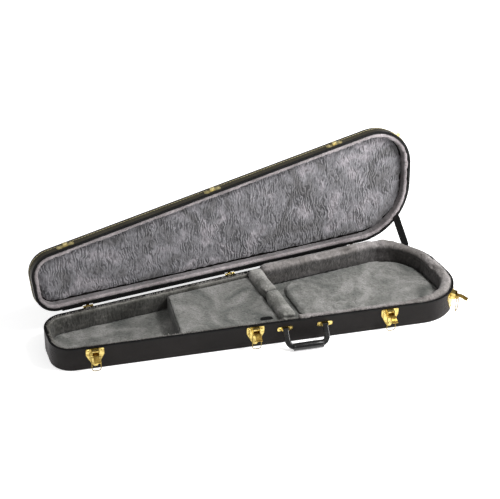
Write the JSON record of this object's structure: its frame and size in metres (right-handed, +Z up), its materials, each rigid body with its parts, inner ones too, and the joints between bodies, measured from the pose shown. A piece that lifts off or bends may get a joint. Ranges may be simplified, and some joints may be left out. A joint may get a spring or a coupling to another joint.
{
  "type": "guitar case",
  "caption": "Open hard case for a bass guitar: tapered vinyl shell lined with grey plush, hinged lid, brass draw latches, handle, accessory box and neck bolsters.",
  "frame": {"origin": "on the underside of the base, under the middle of the plan", "axes": "+X along the case towards the wide body end, +Y towards the hinged back wall, +Z up"},
  "size_m": [1.1612, 0.4578, 0.4109],
  "materials": {
    "black_vinyl": "satin pebble-grained vinyl cover",
    "edge_binding": "folded black vinyl binding",
    "grey_plush": "short grey plush pile",
    "gilt_brass": "polished brass-coloured plate",
    "webbing": "black woven webbing",
    "handle_black": "moulded black handle"
  },
  "bodies": {
    "base": {"base_wall": "black_vinyl", "base_bottom": "black_vinyl", "base_rim_binding": "edge_binding", "base_floor_lining": "grey_plush", "neck_wall_lining": "grey_plush", "body_wall_padding": "grey_plush", "body_floor_foam": "grey_plush", "body_floor_pad": "grey_plush", "neck_bolster_back": "grey_plush", "neck_bolster_front": "grey_plush", "box_partition_left": "grey_plush", "box_partition_right": "grey_plush", "hinge_base_leaves": "gilt_brass", "hinge_pins": "gilt_brass", "hinge_base_rivets": "gilt_brass", "latch_pins": "gilt_brass", "latch_rivets": "gilt_brass", "handle_bracket_left": "gilt_brass", "handle_bracket_right": "gilt_brass", "handle_pins": "gilt_brass", "handle_screws": "gilt_brass", "strap_anchor_base": "gilt_brass", "latch_plate_1": "gilt_brass", "latch_plate_2": "gilt_brass", "latch_plate_3": "gilt_brass", "latch_plate_4": "gilt_brass", "stay_strap": "webbing"},
    "lid": {"lid_wall": "black_vinyl", "lid_panel": "black_vinyl", "lid_edge_band": "black_vinyl", "lid_rim_binding": "edge_binding", "lid_wall_lining": "grey_plush", "lid_panel_padding": "grey_plush", "hinge_lid_leaves": "gilt_brass", "hinge_lid_rivets": "gilt_brass", "catch_rivets": "gilt_brass", "strap_anchor_lid": "gilt_brass", "lid_catch_1": "gilt_brass", "lid_catch_2": "gilt_brass", "lid_catch_3": "gilt_brass", "lid_catch_4": "gilt_brass"},
    "box_lid": {"box_lid": "grey_plush", "box_lid_tab": "black_vinyl"},
    "handle": {"handle_bow": "handle_black", "handle_grip": "handle_black"},
    "latch_lever_1": {"latch_lever_1": "gilt_brass"},
    "latch_bail_1": {"latch_bail_1": "gilt_brass"},
    "latch_lever_2": {"latch_lever_2": "gilt_brass"},
    "latch_bail_2": {"latch_bail_2": "gilt_brass"},
    "latch_lever_3": {"latch_lever_3": "gilt_brass"},
    "latch_bail_3": {"latch_bail_3": "gilt_brass"},
    "latch_lever_4": {"latch_lever_4": "gilt_brass"},
    "latch_bail_4": {"latch_bail_4": "gilt_brass"}
  },
  "joints": [
    {"name": "lid_hinge", "type": "hinge", "parent": "base", "child": "lid", "pos_m": [0, 0.1748, 0.07], "axis": [1, 0, 0], "range_deg": [0, 98], "deforming": ["stay_strap"]},
    {"name": "latch_lever_1_hinge", "type": "hinge", "parent": "base", "child": "latch_lever_1", "pos_m": [-0.47666, -0.02322, 0.053], "axis": [0.9861, -0.1661, 0], "range_deg": [0, 88]},
    {"name": "latch_bail_1_hinge", "type": "hinge", "parent": "latch_lever_1", "child": "latch_bail_1", "pos_m": [-0.47816, -0.0321, 0.053], "axis": [0.9861, -0.1661, 0], "range_deg": [-275, 1]},
    {"name": "latch_lever_2_hinge", "type": "hinge", "parent": "base", "child": "latch_lever_2", "pos_m": [-0.04366, -0.09616, 0.053], "axis": [0.9861, -0.1661, 0], "range_deg": [0, 88]},
    {"name": "latch_bail_2_hinge", "type": "hinge", "parent": "latch_lever_2", "child": "latch_bail_2", "pos_m": [-0.04516, -0.10504, 0.053], "axis": [0.9861, -0.1661, 0], "range_deg": [-275, 1]},
    {"name": "latch_lever_3_hinge", "type": "hinge", "parent": "base", "child": "latch_lever_3", "pos_m": [0.33574, -0.16007, 0.053], "axis": [0.9861, -0.1661, 0], "range_deg": [0, 88]},
    {"name": "latch_bail_3_hinge", "type": "hinge", "parent": "latch_lever_3", "child": "latch_bail_3", "pos_m": [0.33424, -0.16894, 0.053], "axis": [0.9861, -0.1661, 0], "range_deg": [-275, 1]},
    {"name": "latch_lever_4_hinge", "type": "hinge", "parent": "base", "child": "latch_lever_4", "pos_m": [0.54808, -0.14602, 0.053], "axis": [0.7385, 0.6743, 0], "range_deg": [0, 88]},
    {"name": "latch_bail_4_hinge", "type": "hinge", "parent": "latch_lever_4", "child": "latch_bail_4", "pos_m": [0.55415, -0.15266, 0.053], "axis": [0.7385, 0.6743, 0], "range_deg": [-275, 1]},
    {"name": "handle_hinge", "type": "hinge", "parent": "base", "child": "handle", "pos_m": [0.095, -0.11546, 0.048], "axis": [-0.9861, 0.1661, 0], "range_deg": [0, 120]},
    {"name": "box_lid_hinge", "type": "hinge", "parent": "base", "child": "box_lid", "pos_m": [0, 0.1525, 0.0615], "axis": [1, 0, 0], "range_deg": [-85, 0]}
  ],
  "couplings": [
    {"joint": "latch_bail_1_hinge", "follows": "latch_lever_1_hinge", "ratio": -3.1136},
    {"joint": "latch_bail_2_hinge", "follows": "latch_lever_2_hinge", "ratio": -3.1136},
    {"joint": "latch_bail_3_hinge", "follows": "latch_lever_3_hinge", "ratio": -3.1136},
    {"joint": "latch_bail_4_hinge", "follows": "latch_lever_4_hinge", "ratio": -3.1136}
  ]
}
